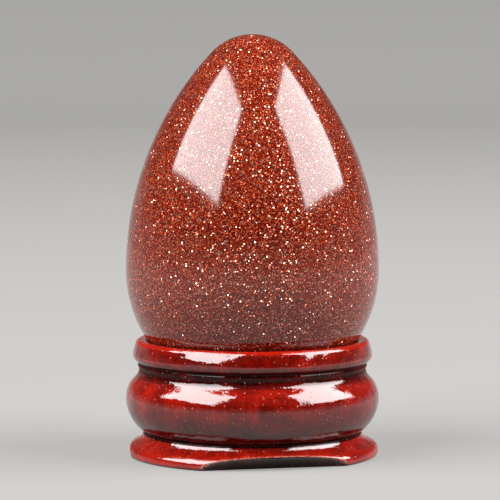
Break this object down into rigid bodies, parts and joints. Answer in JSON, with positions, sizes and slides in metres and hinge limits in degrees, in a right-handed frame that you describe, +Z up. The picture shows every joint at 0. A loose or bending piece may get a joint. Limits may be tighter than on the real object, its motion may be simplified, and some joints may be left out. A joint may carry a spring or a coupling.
{
  "type": "decorative egg on stand",
  "caption": "Polished glass egg standing point up in the dished seat of a turned wooden ring stand with scooped feet; the egg lifts straight off.",
  "frame": {"origin": "on the floor, in the middle of the stand's underside, on the axis that the stand and the egg share", "axes": "+Z up along the egg from blunt end to tip; the front, which the camera faces, is -Y; +X is to the right"},
  "size_m": [0.0352, 0.0352, 0.058],
  "materials": {
    "lacquered_wood": "thick high-gloss red lacquer over turned wood, slightly lumpy, darker in the grooves",
    "sparkling_glass": "polished, opaque red-brown glass full of fine copper flakes that glitter"
  },
  "bodies": {
    "stand": {"stand": "lacquered_wood"},
    "egg": {"egg": "sparkling_glass"}
  },
  "joints": [
    {"name": "egg_lift", "type": "slide", "parent": "stand", "child": "egg", "axis": [0, 0, 1], "range_m": [0, 0.02]}
  ]
}
